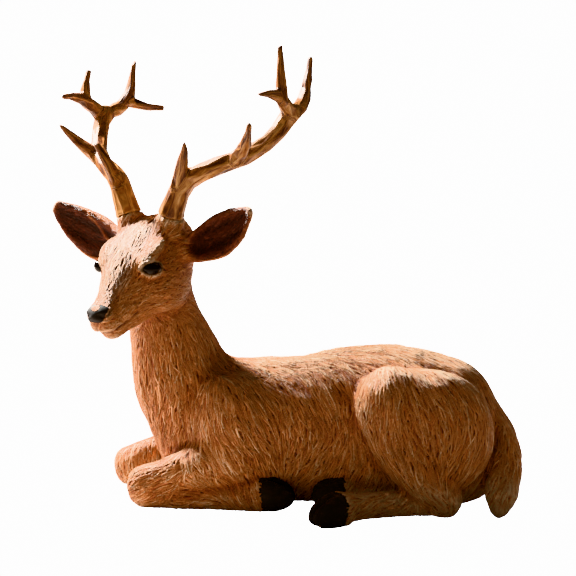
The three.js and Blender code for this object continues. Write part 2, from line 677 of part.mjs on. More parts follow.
// Thins a closed surface to a number of triangles by collapsing the edges that change it least.
// `care` raises the cost of a change where the form is fine.
function thinned(mesh, target, care = () => 1) {
  const positions = mesh.positions.slice();
  const triangles = mesh.triangles.slice();
  const count = positions.length / 3;
  const quadrics = new Float64Array(count * 10);
  const faces = Array.from({ length: count }, () => new Set());
  const alive = new Uint8Array(triangles.length / 3).fill(1);
  const stamp = new Uint32Array(count);
  const [a, b, c, n, q] = Array.from({ length: 5 }, () => new THREE.Vector3());
  const facing = (t, out) => {
    a.fromArray(positions, triangles[t * 3] * 3);
    b.fromArray(positions, triangles[t * 3 + 1] * 3).sub(a);
    c.fromArray(positions, triangles[t * 3 + 2] * 3).sub(a);
    return out.crossVectors(b, c);
  };
  for (let t = 0; t < alive.length; t++) {
    const area = facing(t, n).length() / 2;
    if (area < 1e-12) n.set(0, 0, 0);
    else n.multiplyScalar(0.5 / area);
    const d = -n.dot(a);
    const weight = area * care(a);
    const [x, y, z] = [n.x, n.y, n.z];
    const terms = [x * x, x * y, x * z, x * d, y * y, y * z, y * d, z * z, z * d, d * d];
    for (let k = 0; k < 3; k++) {
      const v = triangles[t * 3 + k];
      faces[v].add(t);
      for (let m = 0; m < 10; m++) quadrics[v * 10 + m] += terms[m] * weight;
    }
  }
  const sum = new Float64Array(10);
  const costAt = (p) => {
    const [xx, xy, xz, xd, yy, yz, yd, zz, zd, dd] = sum;
    const { x, y, z } = p;
    return (
      xx * x * x + 2 * xy * x * y + 2 * xz * x * z + 2 * xd * x +
      yy * y * y + 2 * yz * y * z + 2 * yd * y + zz * z * z + 2 * zd * z + dd
    );
  };
  const matrix = new THREE.Matrix3();
  const pa = new THREE.Vector3();
  const pb = new THREE.Vector3();
  const proposal = (u, v) => {
    for (let m = 0; m < 10; m++) sum[m] = quadrics[u * 10 + m] + quadrics[v * 10 + m];
    pa.fromArray(positions, u * 3);
    pb.fromArray(positions, v * 3);
    const [xx, xy, xz, xd, yy, yz, yd, zz, zd] = sum;
    const trace = xx + yy + zz;
    const spring = 2e-3 * trace + 1e-9;
    const mx = (pa.x + pb.x) / 2;
    const my = (pa.y + pb.y) / 2;
    const mz = (pa.z + pb.z) / 2;
    matrix.set(xx + spring, xy, xz, xy, yy + spring, yz, xz, yz, zz + spring);
    const at = new THREE.Vector3(spring * mx - xd, spring * my - yd, spring * mz - zd);
    at.applyMatrix3(matrix.invert());
    const length = pa.distanceToSquared(pb);
    const cost = Math.max(0, costAt(at)) + 1e-3 * trace * length;
    return { u, v, at, cost, su: stamp[u], sv: stamp[v] };
  };
  const heap = [];
  const push = (item) => {
    let i = heap.push(item) - 1;
    while (i > 0) {
      const up = (i - 1) >> 1;
      if (heap[up].cost <= heap[i].cost) break;
      [heap[up], heap[i]] = [heap[i], heap[up]];
      i = up;
    }
  };
  const pop = () => {
    const top = heap[0];
    const last = heap.pop();
    if (heap.length) {
      heap[0] = last;
      for (let i = 0; ; ) {
        let least = i;
        for (const child of [2 * i + 1, 2 * i + 2])
          if (child < heap.length && heap[child].cost < heap[least].cost) least = child;
        if (least === i) break;
        [heap[least], heap[i]] = [heap[i], heap[least]];
        i = least;
      }
    }
    return top;
  };
  const around = (v) => {
    const ring = new Set();
    for (const t of faces[v]) for (let k = 0; k < 3; k++) ring.add(triangles[t * 3 + k]);
    ring.delete(v);
    return ring;
  };
  for (let t = 0; t < alive.length; t++)
    for (let k = 0; k < 3; k++) {
      const [u, v] = [triangles[t * 3 + k], triangles[t * 3 + ((k + 1) % 3)]];
      if (u < v) push(proposal(u, v));
    }
  let left = alive.length;
  const before = new THREE.Vector3();
  const spoils = (v, other, at) => {
    for (const t of faces[v]) {
      if (faces[other].has(t)) continue;
      facing(t, before).normalize();
      const corners = [0, 1, 2].map((k) => triangles[t * 3 + k]);
      const [e, f, g] = corners.map((w) =>
        w === v ? at.clone() : new THREE.Vector3().fromArray(positions, w * 3),
      );
      f.sub(e);
      g.sub(e);
      q.crossVectors(f, g);
      const longest = Math.max(f.lengthSq(), g.lengthSq(), f.distanceToSquared(g));
      if (q.length() < 0.04 * longest || q.normalize().dot(before) < 0.2) return true;
    }
    return false;
  };
  while (left > target && heap.length) {
    const { u, v, at, su, sv } = pop();
    if (su !== stamp[u] || sv !== stamp[v]) continue;
    const ringV = around(v);
    let shared = 0;
    for (const w of around(u)) if (ringV.has(w)) shared++;
    if (shared !== 2 || spoils(u, v, at) || spoils(v, u, at)) continue;
    at.toArray(positions, u * 3);
    for (const t of faces[v]) {
      if (faces[u].has(t)) {
        alive[t] = 0;
        left--;
        for (let k = 0; k < 3; k++) faces[triangles[t * 3 + k]].delete(t);
      } else {
        for (let k = 0; k < 3; k++) if (triangles[t * 3 + k] === v) triangles[t * 3 + k] = u;
        faces[u].add(t);
      }
    }
    faces[v].clear();
    for (let m = 0; m < 10; m++) quadrics[u * 10 + m] += quadrics[v * 10 + m];
    stamp[v]++;
    stamp[u]++;
    for (const w of around(u)) push(proposal(u, w));
  }
  const renumbered = new Map();
  const kept = [];
  const corners = [];
  for (let t = 0; t < alive.length; t++)
    if (alive[t])
      for (let k = 0; k < 3; k++) {
        const v = triangles[t * 3 + k];
        if (!renumbered.has(v)) {
          renumbered.set(v, kept.length / 3);
          kept.push(positions[v * 3], positions[v * 3 + 1], positions[v * 3 + 2]);
        }
        corners.push(renumbered.get(v));
      }
  return { positions: Float64Array.from(kept), triangles: Uint32Array.from(corners) };
}

const wasm = await Module();
wasm.setup();

const largest = (manifold) =>
  manifold.decompose().reduce((most, body) => (body.volume() > most.volume() ? body : most));

// The largest closed body of a mesh, ready to be joined or cut.
function solid({ positions, triangles }) {
  const mesh = new wasm.Mesh({
    numProp: 3,
    vertProperties: Float32Array.from(positions),
    triVerts: Uint32Array.from(triangles),
  });
  mesh.merge();
  return largest(new wasm.Manifold(mesh));
}

function fromGeometry(geometry) {
  geometry.deleteAttribute("normal");
  geometry.deleteAttribute("uv");
  const welded = mergeVertices(geometry, 1e-5);
  return solid({ positions: welded.attributes.position.array, triangles: welded.index.array });
}

// A round tool that stands on a plane: its foot's centre, the plane's facing, radius and height.
function post(foot, facing, radius, height) {
  const geometry = new THREE.CylinderGeometry(radius, radius, height, 24).translate(0, height / 2, 0);
  geometry.applyQuaternion(new THREE.Quaternion().setFromUnitVectors(new THREE.Vector3(0, 1, 0), facing));
  return fromGeometry(geometry.translate(foot.x, foot.y, foot.z));
}

function slabBelow(z) {
  const size = 4 * FIGURE_HEIGHT;
  return fromGeometry(new THREE.BoxGeometry(size, size, size).translate(0, 0, z - size / 2));
}

// An oval bead with three half sizes, set at a place in the head and looking along `facing`, its slit level.
function bead(centre, facing, [along, above, deep]) {
  const level = new THREE.Vector3().crossVectors(UP, facing).normalize();
  const across = new THREE.Vector3().crossVectors(facing, level);
  const basis = new THREE.Matrix4().makeBasis(level, across, facing);
  const geometry = new THREE.SphereGeometry(1, ROUND_STEPS, ROUND_STEPS * 0.75);
  geometry.scale(along, above, deep).applyMatrix4(basis);
  return fromGeometry(geometry.translate(centre.x, centre.y, centre.z));
}

// An eye is a glossy dome. `gap` widens it to the socket that it sits in.
const EYE_AT = [7.4, 7, 2.5];

function eyeball(side, gap = 0) {
  const facing = new THREE.Vector3(0.5, side * 0.84, 0.2).transformDirection(HEAD_BASIS);
  const sizes = [EYE_DIAMETER, EYE_OPENING, EYE_DEPTH].map((size) => size / 2 + gap);
  return bead(inHead(EYE_AT[0], side * EYE_AT[1], EYE_AT[2]), facing, sizes);
}

function nostril(side) {
  const facing = new THREE.Vector3(0.8, side * 0.6, 0).transformDirection(HEAD_BASIS);
  return bead(inHead(20.4, side * 2.1, -0.9), facing, [NOSTRIL / 2, NOSTRIL / 4, NOSTRIL / 2.4]);
}

function meshOf(body, name, material) {
  const { vertProperties, triVerts, numProp } = body.getMesh();
  const geometry = new THREE.BufferGeometry();
  const positions = new Float32Array((vertProperties.length / numProp) * 3);
  for (let i = 0, j = 0; i < vertProperties.length; i += numProp, j += 3)
    positions.set(vertProperties.subarray(i, i + 3), j);
  geometry.setAttribute("position", new THREE.BufferAttribute(positions, 3));
  geometry.setIndex(new THREE.BufferAttribute(Uint32Array.from(triVerts), 1));
  geometry.computeVertexNormals();
  const mesh = new THREE.Mesh(geometry, new THREE.MeshStandardMaterial(material));
  mesh.name = name;
  return mesh;
}

// Strength of the carved coat: full on the trunk and neck, less on the legs, little on head, ears and hooves.
const smoothStep = (value, low, high) => THREE.MathUtils.smoothstep(value, low * UNIT, high * UNIT);
const bare = [
  [HOOVES.map((place) => hoof(...place)), 0, 0.2, 1.6],
  [[ear(1), ear(-1)], 0.05, 0.3, 1.5],
  [[head()], 0.16, 0.2, 4],
];

function coatAt(p) {
  let strength = 0.35 + 0.65 * smoothStep(p.z, 3, 11);
  for (const [fields, least, low, high] of bare) {
    const off = Math.min(...fields.map((field) => field(p)));
    strength *= least + (1 - least) * smoothStep(off, low, high);
  }
  return strength;
}

// The body: carve the coat, thin the surface, then cut the base flat and fit antler seats and eye sockets.
// The head keeps more of its form than the rest when the surface is thinned.
const stag = stagField();
const bodyBox = new THREE.Box3(point(-56, -32, -1.6), point(52, 24, 68));
const coated = carveLocks(settle(surfaceOf(stag, bodyBox, BODY_GRID), stag), coatAt);
const headCare = (p) => (p.distanceTo(HEAD_CENTRE) < 26 * UNIT ? 3 : 1);
let body = solid(thinned(coated, BODY_TRIANGLES, headCare)).subtract(slabBelow(0));

// An antler is cut off at its seat and stands a seam's width above the flat that is cut on the head.
const SEAT_TOOL = [5 * UNIT, 6 * UNIT]; // radius and height, clear of all but the seat
const FOOT_TOOL = [6 * UNIT, 8 * UNIT];
const antlers = [1, -1].map((side) => {
  const field = antler(side);
  const box = new THREE.Box3().setFromCenterAndSize(inHead(-20, side * 15, 18), point(64, 64, 60));
  const facing = seatFacing(side);
  const seat = seatPoint(side);
  body = body.subtract(post(seat, facing, ...SEAT_TOOL));
  const rough = solid(thinned(settle(surfaceOf(field, box, ANTLER_GRID), field), ANTLER_TRIANGLES));
  const foot = seat.clone().addScaledVector(facing, SEAM);
  return rough.subtract(post(foot, facing.clone().negate(), ...FOOT_TOOL));
});
const eyes = [1, -1].map((side) => {
  body = body.subtract(eyeball(side, SEAM)).subtract(nostril(side));
  return eyeball(side);
});

const fur = { color: 0xa8672f, roughness: 0.55, metalness: 0 };
const horn = { color: 0x7a4524, roughness: 0.4, metalness: 0 };
const gloss = { color: 0x0c0a09, roughness: 0.08, metalness: 0 };
const figure = new THREE.Group();
figure.add(
  meshOf(largest(body), "deer_body", fur),
  meshOf(antlers[0], "antler_left", horn),
  meshOf(antlers[1], "antler_right", horn),
  meshOf(eyes[0], "eye_left", gloss),
  meshOf(eyes[1], "eye_right", gloss),
);

// The origin is on the floor, under the middle of the figure's box.
const middle = new THREE.Box3().setFromObject(figure).getCenter(new THREE.Vector3());
figure.position.set(-middle.x, -middle.y, 0);
const group = new THREE.Group();
group.add(figure);

export default group;
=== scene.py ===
import bpy
import math
import numpy as np
from mathutils import Matrix, Vector
from mathutils.bvhtree import BVHTree
from mathutils.kdtree import KDTree


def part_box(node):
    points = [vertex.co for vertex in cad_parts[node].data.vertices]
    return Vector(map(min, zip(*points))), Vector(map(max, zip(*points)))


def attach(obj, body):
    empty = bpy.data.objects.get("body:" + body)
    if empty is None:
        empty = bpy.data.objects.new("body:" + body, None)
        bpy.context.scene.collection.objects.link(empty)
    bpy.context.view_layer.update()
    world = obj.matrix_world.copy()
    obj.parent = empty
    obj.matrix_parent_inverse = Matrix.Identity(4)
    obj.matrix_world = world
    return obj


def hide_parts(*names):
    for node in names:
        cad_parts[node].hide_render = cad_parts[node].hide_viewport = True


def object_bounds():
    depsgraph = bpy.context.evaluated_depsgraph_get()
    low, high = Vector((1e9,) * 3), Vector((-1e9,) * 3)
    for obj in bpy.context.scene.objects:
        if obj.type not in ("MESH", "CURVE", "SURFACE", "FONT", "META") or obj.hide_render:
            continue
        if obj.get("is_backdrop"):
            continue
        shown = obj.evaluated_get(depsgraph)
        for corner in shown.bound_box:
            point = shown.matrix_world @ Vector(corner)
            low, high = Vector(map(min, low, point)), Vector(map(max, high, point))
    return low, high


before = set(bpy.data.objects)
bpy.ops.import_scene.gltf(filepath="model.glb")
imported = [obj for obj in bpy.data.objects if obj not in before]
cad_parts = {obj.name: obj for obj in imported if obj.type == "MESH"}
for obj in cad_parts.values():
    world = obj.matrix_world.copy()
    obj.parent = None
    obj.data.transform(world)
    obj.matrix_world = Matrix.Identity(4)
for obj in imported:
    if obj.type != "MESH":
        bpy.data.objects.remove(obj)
CAD_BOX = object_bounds()

# The pose is stated in hundredths of the figure's height. The head has a frame of its own.
UNIT = 0.300 / 94.9
EYE_AT = (7.4, 7, 2.5)
EYE_FACING = (0.5, 0.84, 0.2)
EYE_LONG, EYE_TALL, EYE_DEEP = 0.006, 0.0043, 0.0042


def unit(v):
    v = np.asarray(v, float)
    return v / np.maximum(np.linalg.norm(v, axis=-1, keepdims=True), 1e-12)


def about(axis, degrees):
    return np.array(Matrix.Rotation(math.radians(degrees), 3, Vector(axis)))


HEAD_F = about((0, 0, 1), 62) @ about((0, 1, 0), -27) @ np.array([-1.0, 0, 0])
HEAD_L = about(HEAD_F, 3.5) @ unit(np.cross((0, 0, 1), HEAD_F))
HEAD_B = np.stack([HEAD_F, HEAD_L, np.cross(HEAD_F, HEAD_L)])
HEAD_C = np.array([-27.45, -6.05, 51.0])
EYE_BOX = np.array([list(c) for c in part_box("eye_left")])
SHIFT = EYE_BOX.mean(0) - (HEAD_C + np.array(EYE_AT) @ HEAD_B) * UNIT


def posed(v):
    return np.asarray(v, float) * UNIT + SHIFT


def in_head(v):
    return posed(HEAD_C + np.asarray(v, float) @ HEAD_B)


def smooth(x, low, high):
    t = np.clip((np.asarray(x, float) - low) / (high - low), 0, 1)
    return t * t * (3 - 2 * t)


# Meshes as arrays.
def evaluated(obj, name, *steps):
    """The mesh of obj after some modifiers, as a new object."""
    copy = bpy.data.objects.new(name, obj.data.copy())
    bpy.context.scene.collection.objects.link(copy)
    for kind, settings in steps:
        modifier = copy.modifiers.new(kind, kind)
        for key, value in settings.items():
            setattr(modifier, key, value)
    graph = bpy.context.evaluated_depsgraph_get()
    mesh = bpy.data.meshes.new_from_object(copy.evaluated_get(graph))
    old = copy.data
    copy.modifiers.clear()
    copy.data = mesh
    bpy.data.meshes.remove(old)
    mesh.name = name
    return copy


def points_of(mesh):
    co = np.empty(len(mesh.vertices) * 3, np.float32)
    mesh.vertices.foreach_get("co", co)
    return co.reshape(-1, 3).astype(float)


def normals_of(mesh):
    no = np.empty(len(mesh.vertices) * 3, np.float32)
    mesh.vertex_normals.foreach_get("vector", no)
    return unit(no.reshape(-1, 3))


def put(mesh, p):
    mesh.vertices.foreach_set("co", p.astype(np.float32).ravel())
    mesh.update()


def edges_of(mesh):
    e = np.empty(len(mesh.edges) * 2, np.int32)
    mesh.edges.foreach_get("vertices", e)
    return e.reshape(-1, 2)


def spread(values, edges, count, share=0.5, rounds=1):
    """Each vertex moves a share of the way to the mean of its neighbours."""
    values = np.asarray(values, float)
    flat = values.ndim == 1
    values = values.reshape(count, -1).copy()
    a, b = edges.T
    degree = np.maximum(np.bincount(a, minlength=count) + np.bincount(b, minlength=count), 1)
    shares = np.broadcast_to(share, (count,))[:, None]
    for _ in range(rounds):
        mean = np.stack(
            [
                (np.bincount(a, values[b, k], count) + np.bincount(b, values[a, k], count)) / degree
                for k in range(values.shape[1])
            ],
            1,
        )
        values += (mean - values) * shares
    return values[:, 0] if flat else values


def keep(mesh, name, values):
    """Stores values on the vertices for the materials."""
    values = np.asarray(values, np.float32)
    kind = "FLOAT" if values.ndim == 1 else "FLOAT_VECTOR"
    attribute = mesh.attributes.get(name) or mesh.attributes.new(name, kind, "POINT")
    attribute.data.foreach_set("value" if values.ndim == 1 else "vector", values.ravel())


def gap_to(source, p):
    """Signed distance from each point to a mesh's surface, positive outside."""
    mesh = source.data
    faces = [tuple(f.vertices) for f in mesh.polygons]
    tree = BVHTree.FromPolygons([tuple(c) for c in points_of(mesh)], faces)
    out = np.zeros(len(p))
    for i, place in enumerate(p.tolist()):
        hit, normal, _, distance = tree.find_nearest(place)
        outward = (Vector(place) - hit).dot(normal)
        out[i] = math.copysign(distance, outward)
    return out


def refilled(p, normals, source, edges, count, rounds):
    """Smoothing shrinks a form: the shortfall is given back, without the facets."""
    gap = spread(gap_to(source, p), edges, count, 0.5, rounds)
    return p - normals * gap[:, None]


# A smooth repeatable noise on points, as a sum of a few turned waves.
def waves(p, size, seed, octaves=3):
    rng = np.random.default_rng(seed)
    total = np.zeros(len(p))
    for k in range(octaves):
        for _ in range(5):
            direction = unit(rng.normal(size=3))
            total += np.sin(p @ direction * (2 * np.pi * 2**k / size) + rng.uniform(0, 6.28)) / 2**k
    return total / (2.2 * (2 - 0.5 ** (octaves - 1)))


# Lie of the fur: [place, direction] in the pose for the near side, repeated on the far side.
BODY_LIE = [
    (-22, -8, 35, 0.1, 0, -1), (-26, -7, 44, 0.1, 0, -1), (-30.5, -3, 21, 0.35, 0.3, -1),
    (-31, 0, 28, 0.1, 0, -1), (-23, -9, 17, -0.2, 0, -1), (-18, -11, 21, 0, 0, -1),
    (-12, -13, 21, 0.3, 0, -1), (-8, -15, 14.6, 0.6, 0, -0.8), (-14, -14, 10.4, 0.5, 0, -0.85),
    (-6, -14, 8, 0.4, 0, -0.9), (-14, -4, 31, 0.6, -0.4, -0.8), (2.5, -3, 30, 1, -0.4, -0.1),
    (19, -3, 32, 1, -0.4, -0.1), (31, -3, 30, 1, -0.3, -0.4), (6.6, -11, 23, 0.5, -0.2, -0.85),
    (8.6, -14, 12.5, -0.45, 0, -0.9), (6.6, -12, 6, -0.45, 0.3, -0.8), (23, -12, 27, 0.3, -0.5, -0.8),
    (33, -10, 25, 0.6, -0.3, -0.8), (19, -15, 23, -0.1, 0, -1), (18, -16, 16.7, 0.3, 0, -0.95),
    (23, -17, 10.4, 0.5, 0, -0.85), (29, -16, 5, 0.65, 0, -0.75), (27, -17, 17, 0.3, 0, -0.95),
    (36, -13, 13, -0.45, 0, -0.9), (42.6, -6, 14.6, -0.2, 0, -1), (42.6, -5, 6, -0.5, 0, -0.85),
    (25, -17, 3, -0.95, -0.1, -0.2), (18, -18, 4, -0.9, -0.4, -0.2), (-24, -15, 6, -0.9, 0, -0.35),
    (-18, -15, 2, 1, 0, 0), (46, -5, 6, -0.1, -0.2, -1), (46, -1, 15, 0.2, 0, -1),
]
HEAD_LIE = [
    (-1, 0, 8, -1, 0, 0.2), (5, 0, 6, -1, 0, 0.4), (12, 0, 3, -1, 0, 0.35), (5, 7, -3, -1, 0, -0.35),
    (14, 4, -2, -1, 0.2, -0.1), (3, 5, -9, -1, 0, -0.2), (-1, 8, 1, -1, 0, -0.3), (15, 0, -8, -1, 0, 0),
    (-3.5, 15, 3, -0.1, 0.9, 0.42),
]


def lie_at(p, n):
    out = np.zeros_like(p)
    for side in (1, -1):
        for x, y, z, a, b, c in BODY_LIE:
            near = ((p - posed((x, side * y, z))) ** 2).sum(1) + 4 * UNIT**2
            out += unit((a, side * b, c)) / near[:, None] ** 2
        for f, l, u, a, b, c in HEAD_LIE:
            near = ((p - in_head((f, side * l, u))) ** 2).sum(1) + 4 * UNIT**2
            out += unit(np.array((a, side * b, c)) @ HEAD_B) / near[:, None] ** 2
    return unit(out - n * (out * n).sum(1, keepdims=True))


# Strokes of fur are laid like shingles: each starts flush, swells along the lie and ends in a raised point.
def stroke(p, n, lie, width, length, bend, seed, cell=0.0095):
    rng = np.random.default_rng(seed)
    count = len(p)
    across = np.cross(n, lie)
    keys = np.floor((p - p.min(0)) / cell).astype(np.int64) + 1
    code = (keys[:, 0] * 4096 + keys[:, 1]) * 4096 + keys[:, 2]
    order = np.argsort(code, kind="stable")
    names, starts = np.unique(code[order], return_index=True)
    ends = np.append(starts[1:], count)
    bins = {k: order[a:b] for k, a, b in zip(names.tolist(), starts.tolist(), ends.tolist())}
    offsets = [(a * 4096 + b) * 4096 + c for a in (-1, 0, 1) for b in (-1, 0, 1) for c in (-1, 0, 1)]
    height = np.zeros(count)
    side = np.zeros(count)
    run = np.zeros(count)
    own = np.zeros(count)
    taken = np.zeros(count, bool)
    for i in rng.permutation(count):
        if taken[i] or width[i] <= 0:
            continue
        w, l = width[i] / 2 * rng.uniform(0.8, 1.25), length[i] * rng.uniform(0.75, 1.1)
        tilt, sway = rng.normal(0, 0.14), rng.normal(0, bend)
        phase, lift = rng.uniform(0, 6.28), rng.uniform(0.6, 1)
        centre = int(code[i])
        near = np.concatenate([bins[centre + o] for o in offsets if centre + o in bins])
        away = p[near] - p[i]
        along = away @ lie[i]
        aside = away @ across[i]
        facing = n[near] @ n[i] > 0.35
        close = facing & (np.abs(along) < 0.36 * l) & (np.abs(aside) < 0.75 * w)
        taken[near[close]] = True
        share = along / l + 0.5
        inside = facing & (share > 0) & (share < 1)
        near, share, aside = near[inside], share[inside], aside[inside]
        curve = sway * (np.sin(3.6 * share + phase) - math.sin(1.8 + phase))
        aside = aside - w * (curve + tilt * 4 * (share - 0.5))
        form = w * 1.15 * np.minimum(1, share / 0.25) ** 0.6 * (1 - share**2) ** 0.8 + 1e-9
        level = np.abs(aside) / form
        top = lift * (0.4 + 0.6 * share**0.8) * (1 - level**2)
        better = (level < 1) & (top > height[near])
        chosen = near[better]
        height[chosen] = top[better]
        side[chosen] = (aside / form)[better]
        run[chosen] = share[better]
        own[chosen] = rng.uniform()
    return height, side, run, own


# The body: a smooth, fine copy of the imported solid, then eyelids, mouth, ears, hooves and the coat.
FINE = 0.00064
TRIANGLES = 560000
HOOVES = [
    ((-4.2, -11.6, 3.6), 0, 2, 1.05), ((-12.6, 10.1, 3.4), 14, 4, 1.0),
    ((13, -9.5, 4), 197, 4, 1.0), ((13.5, -19.8, 3.2), 220, 6, 1.05),
]


def welded(obj):
    """The node's mesh with its corners joined, so that it can be smoothed."""
    steps = [("WELD", {"merge_threshold": 1e-6})]
    return evaluated(obj, obj.name + "_welded", *steps)


source = welded(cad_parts["deer_body"])
body = evaluated(
    source, "body_casting",
    ("SUBSURF", {"levels": 1, "render_levels": 1}),
    ("REMESH", {"mode": "VOXEL", "voxel_size": FINE, "adaptivity": 0.0}),
)
mesh = body.data
edges = edges_of(mesh)
p = points_of(mesh)
count = len(p)

# Facets are eased away: strongly on the trunk, lightly on head, ears and feet.
h = (p - in_head((0, 0, 0))) @ HEAD_B.T / UNIT
on_head = smooth(np.linalg.norm(h - np.array([6, 0, -2]), axis=1), 17, 12)
ear_reach = smooth(np.abs(h[:, 1]), 8.4, 10.5) * smooth(h[:, 2], -8, -5) * smooth(np.abs(h[:, 0] + 3.5), 7, 5)
low = smooth((p[:, 2] - SHIFT[2]) / UNIT, 8, 5)
ease = np.clip(0.62 - 0.34 * np.maximum(on_head, low * 0.6) - 0.12 * ear_reach, 0.08, 0.62)
for _ in range(24):
    p = spread(p, edges, count, ease, 1)
    p = spread(p, edges, count, -ease * 1.03, 1)
p = spread(p, edges, count, ease * 0.7, 3)
put(mesh, p)
p = refilled(p, normals_of(mesh), source, edges, count, 24)
bpy.data.objects.remove(source)
put(mesh, p)
n = normals_of(mesh)
h = (p - in_head((0, 0, 0))) @ HEAD_B.T / UNIT
hn = n @ HEAD_B.T
pose = (p - SHIFT) / UNIT
shift = np.zeros(count)
dark = np.zeros(count)

# Eyelids: a thin raised rim round each eye, a hood above it and a dark crease behind the rear corner.
lid = np.zeros(count)
for side in (1, -1):
    facing = unit(np.array((EYE_FACING[0], side * EYE_FACING[1], EYE_FACING[2])) @ HEAD_B)
    level = unit(np.cross((0, 0, 1), facing))
    above = np.cross(facing, level)
    away = p - in_head((EYE_AT[0], side * EYE_AT[1], EYE_AT[2]))
    u, v = away @ level / EYE_LONG * side, away @ above / EYE_TALL
    r = np.hypot(u, v)
    near = smooth(np.linalg.norm(away, axis=1), 0.0165, 0.0115)
    rim = np.exp(-(((r - 1.13) / 0.13) ** 2)) * near
    shift += (0.0016 if side > 0 else 0.0005) * np.exp(-(((r - 1.2) / 0.42) ** 2)) * near * (r > 0.9)
    shift += 0.0006 * rim * (0.7 + 0.5 * smooth(v, -0.2, 0.6))
    shift -= 0.0005 * np.exp(-(((r - 1.42) / 0.13) ** 2)) * near * smooth(v, -0.2, 0.6)
    lid = np.maximum(lid, rim)
    crease = np.exp(-(((v + 0.12 + 0.55 * (np.abs(u) - 1)) / 0.16) ** 2))
    crease = crease * smooth(np.abs(u), 0.9, 1.1) * smooth(np.abs(u), 2.0, 1.4)
    rear = (away @ HEAD_F < 0) * near
    shift -= 0.0006 * crease * rear
    dark = np.maximum.reduce([dark, crease * rear, near * smooth(np.abs(r - 1.0), 0.15, 0.03)])

# Mouth line and nostrils.
def groove(path, width, depth):
    best = np.full(count, 9.0)
    for a, b in zip(path[:-1], path[1:]):
        a, b = np.array(a, float), np.array(b, float)
        t = np.clip((h - a) @ (b - a) / ((b - a) @ (b - a)), 0, 1)
        best = np.minimum(best, np.linalg.norm(h - a - t[:, None] * (b - a), axis=1))
    line = np.exp(-((best / width) ** 2))
    return -depth * line, line


for side in (1, -1):
    path = [(13.4, side * 4.6, -4.5), (15.6, side * 4.1, -5.0), (17.8, side * 3.2, -4.9), (20.6, 0, -4.7)]
    cut, line = groove(path, 0.45, 0.0013)
    shift += cut
    dark = np.maximum(dark, 0.9 * line)
    nostril = [(20.6, side * 1.2, -0.3), (19.4, side * 3.0, -0.9), (18.4, side * 3.3, -0.2)]
    cut, line = groove(nostril, 0.4, 0.0008)
    shift += cut
    dark = np.maximum(dark, line)
cut, line = groove([(21.6, 0, -1.6), (21.2, 0, -4.4)], 0.3, 0.0006)
shift += cut
dark = np.maximum(dark, 0.8 * line)
span = np.interp(h[:, 2], [-2.2, 1.2], [1.6, 3.5])
nose = smooth(h[:, 0], 18.0, 18.5) * smooth(h[:, 2], -2.0, -1.6)
nose *= smooth(np.abs(h[:, 1]), span + 0.2, span - 0.2)
nose *= smooth(h[:, 2] + (h[:, 0] - 18) * 0.35, 1.15, 0.85)
WHISKER_PITS = [(12.4, 5.4, -2.6), (11.2, 5.9, -1.6), (13.4, 4.9, -1.9), (13.2, 5.0, -3.2)]
pits = np.zeros(count)
for side in (1, -1):
    for forward, left, up in WHISKER_PITS:
        place = np.array((forward, side * left, up))
        pits = np.maximum(pits, np.exp(-((np.linalg.norm(h - place, axis=1) / 0.34) ** 2)))
shift -= 0.0005 * pits
dark = np.maximum(dark, 0.9 * pits)

# Ears: the hollow has long folds and a darker paint.
ear_in = np.zeros(count)
fold = np.zeros(count)
for side in (1, -1):
    root = np.array([-2.6, side * 6.6, 0])
    reach = np.array([-2.4, side * 20.2, 9.2])
    sag = 1.4 if side > 0 else 2.8
    t = np.clip((h - root) @ reach / (reach @ reach), 0, 1.05)
    middle = root + t[:, None] * reach
    middle[:, 2] -= 4 * sag * t * (1 - t)
    ahead = unit(np.array((0.89, 0, 0.45)))
    forward = (h - middle) @ ahead
    aside = (h - middle) @ unit(np.cross(reach, ahead)) * side
    here = smooth(side * h[:, 1], 7.5, 9.5) * smooth(np.linalg.norm(h - middle, axis=1), 7.5, 6)
    half = np.interp(t, [0, 0.25, 0.5, 0.76, 0.97, 1.05], [2.2, 3.7, 4.7, 3.9, 1.6, 0.6])
    open_face = smooth(hn @ ahead, 0.1, 0.45)
    hollow = here * open_face * smooth(np.abs(aside) / half, 0.97, 0.86)
    hollow = hollow * smooth(t, 0.1, 0.2) * smooth(t, 0.99, 0.93)
    ear_in = np.maximum(ear_in, hollow)
    ridges = np.cos(aside / half * 9 + 1.2 * np.sin(t * 5)) * smooth(t, 0.12, 0.3) * smooth(t, 0.95, 0.7)
    fold += hollow * ridges
    # The right ear has a ridge from its root to its upper edge.
    if side < 0:
        line = np.exp(-(((aside / half - np.interp(t, [0.12, 0.6], [0.35, -0.85])) / 0.11) ** 2))
        line *= hollow * smooth(t, 0.66, 0.56)
        shift += 0.0008 * line
        ear_in = ear_in * (1 - 0.75 * line)
shift += 0.0004 * fold

# Hooves: bare black horn, with a ragged edge where the coat ends.
hoof = np.zeros(count)
for place, yaw, pitch, size in HOOVES:
    basis = about((0, 0, 1), yaw) @ about((0, 1, 0), pitch)
    local = (pose - np.array(place)) @ basis / size
    edge = 0.55 + 0.35 * waves(p, 0.004, 5, 2) - 0.12 * local[:, 2]
    wide = np.interp(local[:, 0], [0, 2.6, 5, 6.2, 7.4], [3.5, 3.4, 2.7, 1.9, 1.2])
    tall = np.interp(local[:, 0], [0, 2.6, 5, 6.2, 7.4], [3.5, 3.2, 2.5, 1.7, 1.0])
    level = np.hypot(local[:, 1] / wide, (local[:, 2] + 0.2) / tall)
    within = smooth(level, 1.2, 1.1) * smooth(local[:, 0], 7.6, 7.2)
    hoof = np.maximum(hoof, within * smooth(local[:, 0], edge - 0.12, edge + 0.12))
    cleft = np.exp(-((local[:, 1] / 0.3) ** 2)) * smooth(local[:, 0], 1.0, 2.4) * within
    shift -= 0.0008 * cleft

